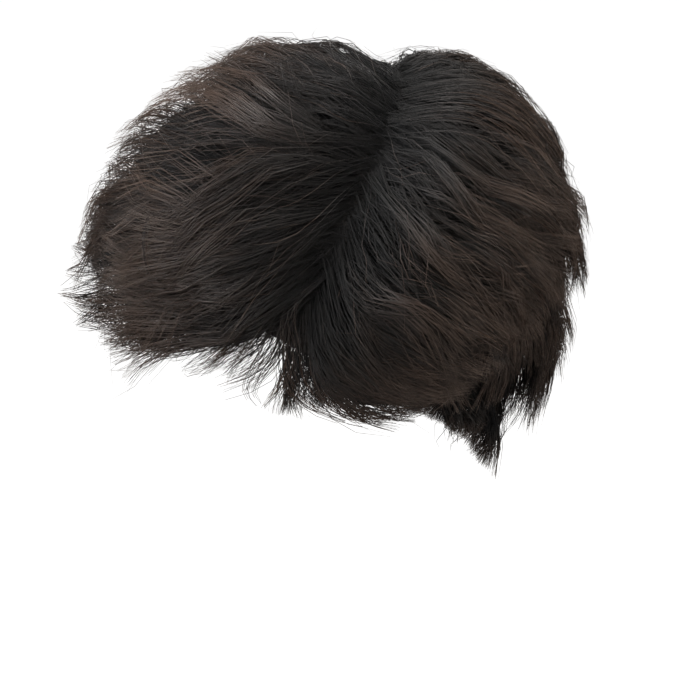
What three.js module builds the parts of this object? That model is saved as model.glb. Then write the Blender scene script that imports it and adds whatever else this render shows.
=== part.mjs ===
// A short synthetic wig with a side parting on the wearer's left, worn on a head, in millimetres.
// +Z is up, -Y is the front and +X is the wearer's left. The origin is the point inside the cap
// where the top of the head sits.
import * as THREE from "three";

// The head that the cap fits: half sizes from its centre, which is headCrown below the origin.
const headHalfWidth = 77;
const headFront = 96;
const headBack = 98;
const headCrown = 92;
const headBelow = 118;
const headRoundness = 2.3; // 2 is an ellipsoid, more is squarer

// The cap is a thin net shell on the head. Hair starts just clear of it.
const capWall = 1.2;
const capClear = 0.7;
const base = capWall + capClear;

// Neighbouring hair sections keep this far apart.
const seam = 1.2;

// Facets of the cap, round it and down it.
const capTurns = 40;
const capRings = 10;

// Places on the head are given as [turn, fall] in degrees. turn is the bearing about the upright axis:
// 0 is the front, 90 the wearer's left and 180 the back. fall is the angle down from the crown.

// The cap's edge, from the front hairline to the temple, the sideburn, over the ear and down to the nape.
const capEdge = [
  [0, 61],
  [25, 63],
  [45, 76],
  [60, 104],
  [74, 108],
  [88, 101],
  [102, 106],
  [118, 126],
  [145, 139],
  [180, 143],
];

// The parting, from the front hairline back to the crown.
const parting = [
  [19, 61],
  [22, 51],
  [28, 40],
  [39, 29],
  [62, 19],
  [105, 14],
  [150, 18],
  [168, 24],
];
const crown = parting.at(-1);

// Hair sections. Each guide is a row that follows the flow of the hair from its root to its tip, and the
// rows run from right to left as seen from outside. over and under are the heights of the outer and inner
// faces above the head in mm, at the root, crest, shoulder and tip. Sections that meet share a guide there.
// across and along count the facets, locks is the number of locks side by side, ridge is how far each stands
// out in mm, and scallop is how much longer its middle is, as a share of the guide.
const rightOfCrown = { root: crown, tip: [-152, 88], over: [6, 13, 22, 20], under: [base, 4, 14, 15] };
const leftOfCrown = { root: crown, tip: [152, 88], over: [8, 25, 25, 22], under: [base, 4, 15, 16.5] };
const topRight = {
  across: 28,
  along: 11,
  locks: 7,
  ridge: 1.6,
  scallop: 0.03,
  guides: [
    { root: parting[0], tip: [-42, 94], over: [8, 13, 17, 13], under: [5.4, 7.5, 9, 10] },
    { root: parting[1], tip: [-50, 93], over: [6, 21, 29, 30], under: [base, 7.5, 12, 13] },
    { root: parting[2], tip: [-62, 93], over: [6, 25, 33, 28], under: [base, 5, 13, 14] },
    { root: parting[3], tip: [-76, 92], over: [7, 24, 31, 26], under: [base, 5, 13, 14] },
    { root: parting[4], tip: [-92, 91], over: [7, 21, 28, 24], under: [base, 5, 14, 15] },
    { root: parting[5], tip: [-110, 91], over: [7, 17, 26, 22], under: [base, 5, 15, 16.5] },
    { root: parting[6], tip: [-132, 90], over: [6, 14, 24, 22], under: [base, 5, 15, 16.5] },
    rightOfCrown,
  ],
};
const crownBack = {
  across: 14,
  along: 9,
  locks: 5,
  ridge: 1.4,
  scallop: 0.03,
  guides: [
    rightOfCrown,
    { root: [168, 25], tip: [-168, 88], over: [6, 13, 22, 20], under: [base, 4, 13, 14] },
    { root: [168, 25], tip: [178, 88], over: [6, 14, 22, 20], under: [base, 4, 13, 14] },
    { root: [168, 25], tip: [166, 88], over: [7, 19, 23, 21], under: [base, 4, 14, 15] },
    leftOfCrown,
  ],
};
const topLeft = {
  across: 26,
  along: 10,
  locks: 7,
  ridge: 1.6,
  scallop: 0.03,
  guides: [
    leftOfCrown,
    { root: parting[6], tip: [134, 90], over: [8, 26, 25, 25], under: [base, 4, 15, 16.5] },
    { root: parting[5], tip: [116, 91], over: [8, 23, 27, 27], under: [base, 4, 15, 16.5] },
    { root: parting[4], tip: [98, 91], over: [8, 21, 27, 26], under: [base, 4, 14, 15] },
    { root: parting[3], tip: [80, 90], over: [7, 20, 25, 23], under: [base, 4, 13, 14] },
    { root: parting[2], tip: [63, 91], over: [6, 17, 22, 20], under: [base, 4, 12, 13] },
    { root: parting[1], tip: [46, 93], over: [6, 13, 17, 15], under: [base, 4, 9, 10] },
    { root: parting[0], tip: [29, 93], over: [8, 10, 12, 10], under: [5.7, 7, 7.5, 7.5] },
  ],
};
const fringe = {
  across: 24,
  along: 5,
  locks: 4,
  ridge: 0.4,
  scallop: 0.12,
  guides: [
    { root: [23, 60], tip: [26, 87], over: [3.9, 4.8, 5.2, 5], under: [base, 2.2, 2.4, 2.8] },
    { root: [12, 59], tip: [10, 91], over: [3.9, 4.8, 5.4, 5.4], under: [base, 2.2, 2.4, 2.8] },
    { root: [0, 59], tip: [-5, 89], over: [3.9, 5, 5.8, 5.8], under: [base, 2.2, 2.4, 2.8] },
    { root: [-14, 60], tip: [-20, 86], over: [3.9, 5, 5.8, 5.8], under: [base, 2.2, 2.4, 2.8] },
    { root: [-28, 63], tip: [-34, 85], over: [3.9, 5, 5.8, 5.8], under: [base, 2.2, 2.4, 2.8] },
  ],
};

// The under layer, given for the wearer's left and mirrored to the right.
const side = {
  across: 12,
  along: 6,
  locks: 4,
  ridge: 0.8,
  scallop: 0.02,
  guides: [
    { root: [105, 62], tip: [103, 105], over: [5, 9, 11, 10], under: [base, base, base, 2.4] },
    { root: [90, 60], tip: [89, 101], over: [5, 9, 11, 9], under: [base, base, base, 2.4] },
    { root: [76, 60], tip: [75, 103], over: [5, 9, 10, 8], under: [base, base, base, 2.4] },
    { root: [62, 62], tip: [62, 101], over: [5, 8, 9, 7], under: [base, base, base, 2.4] },
    { root: [48, 68], tip: [52, 94], over: [4.6, 6.4, 7, 6], under: [base, base, base, 2.4] },
  ],
};
const sideburn = {
  across: 6,
  along: 4,
  locks: 2,
  ridge: 0.4,
  scallop: 0.03,
  guides: [
    { root: [76, 105], tip: [71, 112], over: [7, 8, 7.5, 6], under: [base, base, 2.2, 2.6] },
    { root: [66, 104], tip: [65, 115], over: [7, 8, 7.5, 6], under: [base, base, 2.2, 2.6] },
    { root: [56, 100], tip: [58, 109], over: [6, 7, 6.5, 5.5], under: [base, base, 2.2, 2.6] },
  ],
};
const earBack = {
  across: 9,
  along: 9,
  locks: 3,
  ridge: 0.8,
  scallop: 0.03,
  guides: [
    { root: [129, 62], tip: [128, 133], over: [5, 11, 16, 17], under: [base, base, base, 3] },
    { root: [117, 62], tip: [116, 129], over: [5, 12, 18, 19], under: [base, base, base, 3] },
    { root: [105, 62], tip: [106, 119], over: [5, 11, 16, 16], under: [base, base, base, 3] },
  ],
};
const backLower = {
  across: 18,
  along: 9,
  locks: 7,
  ridge: 0.9,
  scallop: 0.02,
  guides: [
    { root: [-129, 62], tip: [-128, 134], over: [5, 10, 15, 13], under: [base, base, base, 3] },
    { root: [-155, 60], tip: [-155, 138], over: [5, 10, 14, 11], under: [base, base, base, 3] },
    { root: [180, 60], tip: [180, 139], over: [5, 10, 14, 11], under: [base, base, base, 3] },
    { root: [155, 60], tip: [155, 138], over: [5, 10, 14, 11], under: [base, base, base, 3] },
    { root: [129, 62], tip: [128, 134], over: [5, 10, 15, 13], under: [base, base, base, 3] },
  ],
};
const nape = {
  across: 16,
  along: 4,
  locks: 6,
  ridge: 0.5,
  scallop: 0.05,
  guides: [
    { root: [-132, 136], tip: [-134, 148], over: [10, 12, 15, 15], under: [base, 3, 7, 11] },
    { root: [-156, 140], tip: [-156, 152], over: [9, 11, 13, 12], under: [base, 3.4, 6, 8] },
    { root: [180, 141], tip: [180, 153], over: [9, 11, 13, 11], under: [base, 3.4, 6, 8] },
    { root: [156, 140], tip: [156, 152], over: [9, 11, 13, 12], under: [base, 3.4, 6, 8] },
    { root: [132, 136], tip: [134, 148], over: [10, 12, 15, 15], under: [base, 3, 7, 11] },
  ],
};

const headCentre = new THREE.Vector3(0, 0, -headCrown);

// The unit vector from the head's centre towards a place on the head.
function bearing(turn, fall) {
  const t = THREE.MathUtils.degToRad(turn);
  const f = THREE.MathUtils.degToRad(fall);
  return new THREE.Vector3(Math.sin(t) * Math.sin(f), -Math.cos(t) * Math.sin(f), Math.cos(f));
}

// How far the head's surface lies from its centre.
function headRadius(direction) {
  const depth = direction.y < 0 ? headFront : headBack;
  const reach = direction.z > 0 ? headCrown : headBelow;
  const sum =
    Math.abs(direction.x / headHalfWidth) ** headRoundness +
    Math.abs(direction.y / depth) ** headRoundness +
    Math.abs(direction.z / reach) ** headRoundness;
  return sum ** (-1 / headRoundness);
}

function aboveHead(direction, height) {
  return headCentre.clone().addScaledVector(direction, headRadius(direction) + height);
}

// A smooth value through evenly spaced numbers, at a share from 0 to 1.
function through(values, share) {
  const curve = new THREE.CatmullRomCurve3(
    values.map((value, i) => new THREE.Vector3(i, value, 0)),
    false,
    "catmullrom",
    0.5,
  );
  return curve.getPoint(share).y;
}

// The same for directions.
function throughBearings(bearings, share) {
  return new THREE.CatmullRomCurve3(bearings, false, "catmullrom", 0.5).getPoint(share).normalize();
}

// The point part of the way along the great circle from one bearing to another.
function alongArc(from, to, share) {
  const angle = from.angleTo(to);
  const a = Math.sin((1 - share) * angle) / Math.sin(angle);
  const b = Math.sin(share * angle) / Math.sin(angle);
  return from.clone().multiplyScalar(a).addScaledVector(to, b);
}

// A closed wall between two grids of points: outer(i, j) and inner(i, j).
function wallGeometry(across, along, outer, inner) {
  const points = [];
  const faces = [];
  for (const face of [outer, inner]) {
    for (let i = 0; i <= across; i++) {
      for (let j = 0; j <= along; j++) points.push(...face(i, j).toArray());
    }
  }
  const at = (k, i, j) => (k * (across + 1) + i) * (along + 1) + j;
  const quad = (a, b, c, d) => faces.push(a, c, b, a, d, c);
  for (let i = 0; i < across; i++) {
    for (let j = 0; j < along; j++) {
      quad(at(0, i, j), at(0, i, j + 1), at(0, i + 1, j + 1), at(0, i + 1, j));
      quad(at(1, i, j), at(1, i + 1, j), at(1, i + 1, j + 1), at(1, i, j + 1));
    }
    quad(at(0, i, 0), at(0, i + 1, 0), at(1, i + 1, 0), at(1, i, 0));
    quad(at(0, i + 1, along), at(0, i, along), at(1, i, along), at(1, i + 1, along));
  }
  for (let j = 0; j < along; j++) {
    quad(at(0, 0, j + 1), at(0, 0, j), at(1, 0, j), at(1, 0, j + 1));
    quad(at(0, across, j), at(0, across, j + 1), at(1, across, j + 1), at(1, across, j));
  }
  const geometry = new THREE.BufferGeometry();
  geometry.setAttribute("position", new THREE.Float32BufferAttribute(points, 3));
  geometry.setIndex(faces);
  geometry.computeVertexNormals();
  return geometry;
}

// A hair section: a wall that follows its guides, with a ridge for each lock and a scalloped tip edge.
// Its root edge and its first and last guides stand back from the neighbours by half the seam.
function hairGeometry({ guides, across, along, locks, ridge, scallop }) {
  const roots = guides.map((g) => bearing(...g.root));
  const tips = guides.map((g) => bearing(...g.tip));
  const setBack = seam / 2 / headCrown;
  const face = (column, rise) => (i, j) => {
    const s = i / across;
    const t = j / along;
    const wave = Math.cos(2 * Math.PI * locks * s);
    const root = throughBearings(roots, s);
    const tip = throughBearings(tips, s);
    const start = setBack / root.angleTo(tip);
    const end = 1 + scallop * wave;
    const sideways = root.clone().cross(tip).normalize();
    const direction = alongArc(root, tip, start + (end - start) * t);
    direction.addScaledVector(sideways, setBack * (2 * s - 1)).normalize();
    const heights = [0, 1, 2, 3].map((station) => through(guides.map((g) => g[column][station]), s));
    return aboveHead(direction, through(heights, t) + rise * wave * Math.sin(Math.PI * t));
  };
  return wallGeometry(across, along, face("over", ridge), face("under", 0));
}

// The same section on the wearer's other side.
function mirrored(section) {
  const across = ([turn, fall]) => [-turn, fall];
  const guides = section.guides.map((g) => ({ ...g, root: across(g.root), tip: across(g.tip) }));
  return { ...section, guides: guides.reverse() };
}

// How far down the cap reaches at a turn.
function edgeFall(turn) {
  const away = Math.abs(turn);
  const next = Math.max(1, capEdge.findIndex(([edgeTurn]) => edgeTurn >= away));
  const [turnBefore, fallBefore] = capEdge[next - 1];
  const [turnAfter, fallAfter] = capEdge[next];
  const share = THREE.MathUtils.smoothstep(away, turnBefore, turnAfter);
  return THREE.MathUtils.lerp(fallBefore, fallAfter, share);
}

// The cap: rings from the crown down to the edge, closed over the crown and along the rim.
function capGeometry() {
  const points = [];
  const faces = [];
  const heights = [capWall, 0];
  const ringStart = (k) => k * (1 + capTurns * capRings);
  const at = (k, ring, i) => ringStart(k) + 1 + (ring - 1) * capTurns + (i % capTurns);
  heights.forEach((height) => {
    points.push(...aboveHead(bearing(0, 0), height).toArray());
    for (let ring = 1; ring <= capRings; ring++) {
      for (let i = 0; i < capTurns; i++) {
        const turn = (360 * i) / capTurns - 180;
        const direction = bearing(turn, (edgeFall(turn) * ring) / capRings);
        points.push(...aboveHead(direction, height).toArray());
      }
    }
  });
  const quad = (a, b, c, d) => faces.push(a, b, c, a, c, d);
  for (let i = 0; i < capTurns; i++) {
    faces.push(ringStart(0), at(0, 1, i), at(0, 1, i + 1));
    faces.push(ringStart(1), at(1, 1, i + 1), at(1, 1, i));
    for (let ring = 1; ring < capRings; ring++) {
      quad(at(0, ring, i), at(0, ring + 1, i), at(0, ring + 1, i + 1), at(0, ring, i + 1));
      quad(at(1, ring, i), at(1, ring, i + 1), at(1, ring + 1, i + 1), at(1, ring + 1, i));
    }
    quad(at(0, capRings, i), at(1, capRings, i), at(1, capRings, i + 1), at(0, capRings, i + 1));
  }
  const geometry = new THREE.BufferGeometry();
  geometry.setAttribute("position", new THREE.Float32BufferAttribute(points, 3));
  geometry.setIndex(faces);
  geometry.computeVertexNormals();
  return geometry;
}

const darkNet = { color: 0x1c1918, roughness: 0.9, metalness: 0 };
const darkFibre = { color: 0x2e2724, roughness: 0.5, metalness: 0 };

function piece(name, geometry, finish) {
  const mesh = new THREE.Mesh(geometry, new THREE.MeshStandardMaterial(finish));
  mesh.name = name;
  return mesh;
}

const hairSections = {
  top_right: topRight,
  top_left: topLeft,
  crown_back: crownBack,
  fringe,
  side_left: side,
  side_right: mirrored(side),
  sideburn_left: sideburn,
  sideburn_right: mirrored(sideburn),
  ear_back_left: earBack,
  ear_back_right: mirrored(earBack),
  back_lower: backLower,
  nape,
};

const wig = new THREE.Group();
wig.add(piece("cap", capGeometry(), darkNet));
for (const [name, section] of Object.entries(hairSections)) {
  wig.add(piece(name, hairGeometry(section), darkFibre));
}

export default wig;
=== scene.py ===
import bmesh
import bpy
import numpy as np
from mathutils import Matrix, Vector


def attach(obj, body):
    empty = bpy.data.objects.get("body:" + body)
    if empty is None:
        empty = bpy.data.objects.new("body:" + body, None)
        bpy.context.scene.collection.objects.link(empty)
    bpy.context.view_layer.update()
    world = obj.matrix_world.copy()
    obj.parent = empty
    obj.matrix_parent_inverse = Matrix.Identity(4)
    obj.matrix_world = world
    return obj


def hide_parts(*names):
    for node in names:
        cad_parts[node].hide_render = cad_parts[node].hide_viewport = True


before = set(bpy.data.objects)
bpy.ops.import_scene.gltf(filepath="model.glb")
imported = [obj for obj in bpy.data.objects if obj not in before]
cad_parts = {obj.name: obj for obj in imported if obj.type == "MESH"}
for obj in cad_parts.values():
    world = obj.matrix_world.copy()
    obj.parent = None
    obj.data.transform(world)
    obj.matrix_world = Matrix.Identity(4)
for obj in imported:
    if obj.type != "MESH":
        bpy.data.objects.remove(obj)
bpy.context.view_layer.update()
print("frame loaded")

# The form that the cap is shaped on: half sizes from its middle in mm, and how square it is
form = {"halfWidth": 77, "front": 96, "back": 98, "crown": 92, "below": 118, "roundness": 2.3}
middle = np.array([0, 0, -92.0])
base = 1.9  # the cap's outside over the form, where hair starts
mm = 0.001


def bearing(turn, fall):
    # turn 0 is the front and 90 the wearer's left; fall is counted from the crown
    turn, fall = np.radians(turn), np.radians(fall)
    return np.stack([np.sin(turn) * np.sin(fall), -np.cos(turn) * np.sin(fall), np.cos(fall)], -1)


def unit(v):
    return v / np.linalg.norm(v, axis=-1, keepdims=True)


def smooth(x):
    x = np.clip(x, 0, 1)
    return x * x * (3 - 2 * x)


def formRadius(way):
    x, y, z = np.moveaxis(way, -1, 0)
    depth = np.where(y < 0, form["front"], form["back"])
    height = np.where(z > 0, form["crown"], form["below"])
    k = form["roundness"]
    total = np.abs(x / form["halfWidth"]) ** k + np.abs(y / depth) ** k + np.abs(z / height) ** k
    return total ** (-1 / k)


def aboveForm(way, height):
    return middle + way * (formRadius(way) + height)[..., None]


def curveBetween(a, b, c, d, f):
    # from b to c as f goes from 0 to 1, with a before them and d after
    return b + 0.5 * f * (c - a + f * (2 * a - 5 * b + 4 * c - d + f * (3 * (b - c) + d - a)))


def through(rows, share):
    # a smooth line through the rows, with a row guessed beyond each end
    rows = np.asarray(rows, float)
    rows = np.concatenate([2 * rows[:1] - rows[1:2], rows, 2 * rows[-1:] - rows[-2:-1]])
    place = np.clip(share, 0, 1) * (len(rows) - 3)
    first = np.minimum(place.astype(int), len(rows) - 4)
    f = (place - first)[..., None]
    return curveBetween(*(rows[first + k] for k in range(4)), f)


def throughValues(values, share):
    # the same for plain numbers
    return through(np.array(values, float)[:, None], share)[..., 0]


def throughFour(heights, share):
    # the same through the four heights of each strand, the last axis
    rows = [2 * heights[..., 0] - heights[..., 1]] + [heights[..., k] for k in range(4)]
    rows = np.stack(rows + [2 * heights[..., 3] - heights[..., 2]])
    place = np.clip(share, 0, 1) * 3
    first = np.minimum(place.astype(int), 2)
    f = place - first
    return curveBetween(*(np.take_along_axis(rows, (first + k)[None], 0)[0] for k in range(4)), f)


class Section:
    # guides in order across it: root and tip as [turn, fall], heights over and under from root to tip in mm
    def __init__(self, guides):
        self.roots = np.array([bearing(*g[0]) for g in guides])
        self.tips = np.array([bearing(*g[1]) for g in guides])
        self.over = np.array([g[2] for g in guides], float)
        self.under = np.array([g[3] for g in guides], float)

    def way(self, across, along):
        # the direction of a place, the direction sideways there, and the angle from root to tip
        root, tip = unit(through(self.roots, across)), unit(through(self.tips, across))
        angle = np.arccos(np.clip((root * tip).sum(-1), -1, 1))
        part = np.sin((1 - along) * angle)[..., None] * root + np.sin(along * angle)[..., None] * tip
        return part / np.sin(angle)[..., None], unit(np.cross(root, tip)), angle

    def heights(self, across, along):
        under = throughFour(through(self.under, across), along)
        return under, throughFour(through(self.over, across), along)


def mirrored(guides):
    return [([-g[0][0], g[0][1]], [-g[1][0], g[1][1]], g[2], g[3]) for g in guides[::-1]]


# Hair material: colours from root to tip, scaled by the tone of the strand; the darker root colours are
# painted shade among the roots
hairFinishAndRootShade = {
    "root": (0.0008, 0.0007, 0.0006), "low": (0.0042, 0.0033, 0.0028), "middle": (0.0122, 0.0078, 0.0058),
    "light": (0.0198, 0.0131, 0.0097), "tip": (0.034, 0.0245, 0.0194),
    "places": {"root": 0.08, "low": 0.34, "middle": 0.6, "light": 0.84},
    "levels": 32, "darkest": 0.15, "palest": 5.0,
    "rootRoughness": 0.95, "dullest": 0.8, "glossiest": 0.17, "glossBetween": (0.04, 0.45),
    "shine": 0.3, "shineTint": (0.95, 0.97, 1), "refraction": 1.55,
}


def newMaterial(name):
    material = bpy.data.materials.new(name)
    material.use_nodes = True
    return material, material.node_tree.nodes["Principled BSDF"]


def addRange(tree, value, before, after):
    # takes values between the two before to values between the two after
    made = tree.nodes.new("ShaderNodeMapRange")
    for name, number in zip(("From Min", "From Max", "To Min", "To Max"), (*before, *after)):
        made.inputs[name].default_value = number
    tree.links.new(value, made.inputs["Value"])
    return made


def makeHairMaterial():
    # the piece's own map holds the place along the strand and the strand's tone
    material, shader = newMaterial("hair")
    tree = material.node_tree
    nodes, links = tree.nodes, tree.links
    spot = nodes.new("ShaderNodeUVMap")
    spot.uv_map = "OFBake"
    split = nodes.new("ShaderNodeSeparateXYZ")
    links.new(spot.outputs["UV"], split.inputs[0])
    # the ramp darkens towards the root: painted shade where the roots lie deep in the hair
    ramp = nodes.new("ShaderNodeValToRGB")
    ramp.color_ramp.elements[0].color = (*hairFinishAndRootShade["root"], 1)
    ramp.color_ramp.elements[1].color = (*hairFinishAndRootShade["tip"], 1)
    for name, place in hairFinishAndRootShade["places"].items():
        ramp.color_ramp.elements.new(place).color = (*hairFinishAndRootShade[name], 1)
    links.new(split.outputs["X"], ramp.inputs["Fac"])
    tone = addRange(tree, split.outputs["Y"], (0, 1), (hairFinishAndRootShade["darkest"], hairFinishAndRootShade["palest"]))
    shade = nodes.new("ShaderNodeVectorMath")
    shade.operation = "SCALE"
    links.new(ramp.outputs["Color"], shade.inputs[0])
    links.new(tone.outputs["Result"], shade.inputs["Scale"])
    links.new(shade.outputs["Vector"], shader.inputs["Base Color"])
    # dull at the root, and glossier past it the paler the strand is
    gloss = addRange(tree, split.outputs["Y"], (0, 1), (hairFinishAndRootShade["dullest"], hairFinishAndRootShade["glossiest"]))
    rough = addRange(tree, split.outputs["X"], hairFinishAndRootShade["glossBetween"], (hairFinishAndRootShade["rootRoughness"], 1))
    links.new(gloss.outputs["Result"], rough.inputs["To Max"])
    links.new(rough.outputs["Result"], shader.inputs["Roughness"])
    shader.inputs["Specular IOR Level"].default_value = hairFinishAndRootShade["shine"]
    shader.inputs["IOR"].default_value = hairFinishAndRootShade["refraction"]
    shader.inputs["Specular Tint"].default_value = (*hairFinishAndRootShade["shineTint"], 1)
    return material


hairMaterial = makeHairMaterial()
print("hair material made")

# Strands: centrelines go in as edges, and come out as closed tubes with the map
tubeShape = {"sides": 3, "aroundShare": 0.9}  # aroundShare: how much of a tone level goes round the tube


def makeStrandTree():
    tree = bpy.data.node_groups.new("strandTubes", "GeometryNodeTree")
    sockets = {}
    for name, kind in (("Geometry", "NodeSocketGeometry"), ("Sides", "NodeSocketInt"),
                       ("Tone Levels", "NodeSocketFloat"), ("Material", "NodeSocketMaterial")):
        sockets[name] = tree.interface.new_socket(name, in_out="INPUT", socket_type=kind).identifier
    tree.interface.new_socket("Geometry", in_out="OUTPUT", socket_type="NodeSocketGeometry")
    links = tree.links

    def node(kind, **settings):
        made = tree.nodes.new(kind)
        for name, value in settings.items():
            setattr(made, name, value)
        return made

    def attribute(name):
        made = node("GeometryNodeInputNamedAttribute", data_type="FLOAT")
        made.inputs["Name"].default_value = name
        return made.outputs["Attribute"]

    def maths(operation, first, second):
        made = node("ShaderNodeMath", operation=operation)
        for socket, value in zip(made.inputs, (first, second)):
            if isinstance(value, (int, float)):
                socket.default_value = value
            else:
                links.new(value, socket)
        return made.outputs[0]

    given = node("NodeGroupInput")
    curve = node("GeometryNodeMeshToCurve")
    links.new(given.outputs["Geometry"], curve.inputs["Mesh"])
    ring = node("GeometryNodeCurvePrimitiveCircle")
    ring.inputs["Radius"].default_value = 1
    links.new(given.outputs["Sides"], ring.inputs["Resolution"])
    around = node("GeometryNodeStoreNamedAttribute", data_type="FLOAT", domain="POINT")
    around.inputs["Name"].default_value = "around"
    links.new(ring.outputs["Curve"], around.inputs["Geometry"])
    corner = node("GeometryNodeInputIndex").outputs[0]
    links.new(maths("DIVIDE", corner, given.outputs["Sides"]), around.inputs["Value"])
    tube = node("GeometryNodeCurveToMesh")
    links.new(curve.outputs["Curve"], tube.inputs["Curve"])
    links.new(around.outputs["Geometry"], tube.inputs["Profile Curve"])
    links.new(attribute("thick"), tube.inputs["Scale"])
    tube.inputs["Fill Caps"].default_value = True
    spot = node("ShaderNodeCombineXYZ")
    links.new(attribute("along"), spot.inputs["X"])
    turned = maths("MULTIPLY", attribute("around"), tubeShape["aroundShare"])
    tone = maths("ADD", attribute("tone"), turned)
    links.new(maths("DIVIDE", tone, given.outputs["Tone Levels"]), spot.inputs["Y"])
    mapped = node("GeometryNodeStoreNamedAttribute", data_type="FLOAT2", domain="CORNER")
    mapped.inputs["Name"].default_value = "OFBake"
    links.new(tube.outputs["Mesh"], mapped.inputs["Geometry"])
    links.new(spot.outputs["Vector"], mapped.inputs["Value"])
    shaded = node("GeometryNodeSetShadeSmooth")
    links.new(mapped.outputs["Geometry"], shaded.inputs["Geometry"])
    real = node("GeometryNodeRealizeInstances")
    links.new(shaded.outputs["Geometry"], real.inputs["Geometry"])
    finish = node("GeometryNodeSetMaterial")
    links.new(real.outputs["Geometry"], finish.inputs["Geometry"])
    links.new(given.outputs["Material"], finish.inputs["Material"])
    result = node("NodeGroupOutput")
    links.new(finish.outputs["Geometry"], result.inputs["Geometry"])
    return tree, sockets


strandTree, strandSockets = makeStrandTree()
totals = {"triangles": 0}


def addObject(name, data):
    made = bpy.data.objects.new(name, data)
    bpy.context.scene.collection.objects.link(made)
    return made


def makeCentrelines(name, batches):
    # each batch: lines, strands x points x 3 in mm; radius in mm and tone, 0 to 1, at each point
    spots, edges, count = [], [], 0
    values = {"thick": [], "along": [], "tone": []}
    for lines, thick, tone in batches:
        strands, points = lines.shape[:2]
        first = count + np.arange(strands * points).reshape(strands, points)
        count += strands * points
        spots.append(lines.reshape(-1, 3) * mm)
        edges.append(np.stack([first[:, :-1].ravel(), first[:, 1:].ravel()], 1))
        steps = np.linalg.norm(np.diff(lines, axis=1, prepend=lines[:, :1]), axis=2)
        gone = np.cumsum(steps, axis=1)
        values["thick"].append((thick * mm).ravel())
        values["along"].append((gone / gone[:, -1:]).ravel())
        values["tone"].append((np.clip(tone, 0, 1) * (hairFinishAndRootShade["levels"] - 1)).ravel())
    edges = np.concatenate(edges)
    mesh = bpy.data.meshes.new(name)
    mesh.vertices.add(count)
    mesh.vertices.foreach_set("co", np.concatenate(spots).astype(np.float32).ravel())
    mesh.edges.add(len(edges))
    mesh.edges.foreach_set("vertices", edges.astype(np.int32).ravel())
    for key, value in values.items():
        data = mesh.attributes.new(key, "FLOAT", "POINT").data
        data.foreach_set("value", np.concatenate(value).astype(np.float32))
    mesh.update()
    return mesh


def growStrands(name, batches, nodes):
    # the tubes become the piece's own mesh, and only the map stays of their values
    mesh = makeCentrelines(name, batches)
    piece = addObject(name, mesh)
    modifier = piece.modifiers.new("strands", "NODES")
    modifier.node_group = strandTree
    modifier[strandSockets["Sides"]] = tubeShape["sides"]
    modifier[strandSockets["Tone Levels"]] = float(hairFinishAndRootShade["levels"])
    modifier[strandSockets["Material"]] = hairMaterial
    bpy.context.view_layer.update()
    grown = piece.evaluated_get(bpy.context.evaluated_depsgraph_get())
    plain = bpy.data.meshes.new_from_object(grown)
    piece.modifiers.clear()
    piece.data = plain
    bpy.data.meshes.remove(mesh)
    plain.name = name
    for spare in ("along", "tone", "around", "thick"):
        if spare in plain.attributes:
            plain.attributes.remove(plain.attributes[spare])
    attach(piece, "root")
    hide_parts(*nodes)
    triangles = sum(len(p.vertices) - 2 for p in plain.polygons)
    totals["triangles"] += triangles
    print(name, sum(len(b[0]) for b in batches), "strands", triangles, "triangles")


rippleShape = {"waves": 8, "shortest": 0.7, "spread": 0.8, "scale": 2.8}


def ripple(seed, across, along, wide, long):
    # a smooth uneven field over a section, in mm across and along it, mostly within -1 to 1
    rng = np.random.default_rng(seed)
    total = 0
    for _ in range(rippleShape["waves"]):
        lean = rng.choice([-1, 1])
        acrossWave = wide * (rippleShape["shortest"] + rippleShape["spread"] * rng.random())
        alongWave = long * (rippleShape["shortest"] + rippleShape["spread"] * rng.random())
        phase = across * lean / acrossWave + along / alongWave + rng.random()
        total = total + np.cos(2 * np.pi * phase)
    return total / rippleShape["scale"]


# What all layers of hair share. Fields give the size of a ripple in mm, across and along
combing = {
    "crowding": 1.2,  # points stand closer together near the root
    "gathered": 1.15,  # gathering ends a little before the tip
    "widthSteps": 61, "widthAt": 0.6, "widthHeight": 10.0,  # where the width of a section is measured
    "edge": 0.003,  # share of the width that stays free at each edge
    "acrossRadian": 110, "alongRadian": 108,  # mm of hair for a radian
    "chopField": (26, 11), "bumpField": (22, 50), "flowField": (36, 75), "chopSeed": 20, "flowSeed": 50,
    "tierApart": 37.0, "shortest": 6,  # mm
    "firstTier": 0.06, "least": 0.02, "tipSlack": 0.02, "tipSpread": 0.06, "reachSpread": 0.06,  # shares
    "swellTurns": (0.8, 0.9), "waveTurns": (0.7, 0.7),  # least number of turns, and the spread over it
    "clumpTurns": 0.8, "curlTurns": 0.6, "clumpWave": 0.4,
    "liftSpeed": 2.5, "waveSpeed": 2, "curlSpeed": 3,  # 2 is in full force half way along
    "clumpRaised": 0.6, "flicks": (1, 1, -0.6), "rootRise": 0.03,
    "crest": 0.17, "clumpRound": 0.5,  # how much the middle of a tuft stands out, so that its mean is level
    "wideShare": 0.1, "wideBy": 2.5,  # a few clumps swing out further
    "wildCurl": 1.8, "wildWidth": 0.7,
    "taper": ((0, 0.15, 0.6, 1), (0.4, 1, 0.9, 0.25)), "thinnest": 0.75, "widthSpread": 0.5,
    "tuftTone": (0.25, 1.5), "clumpTone": (0.3, 2), "strandTone": (0.45, 3),  # amount and power
}


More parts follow.
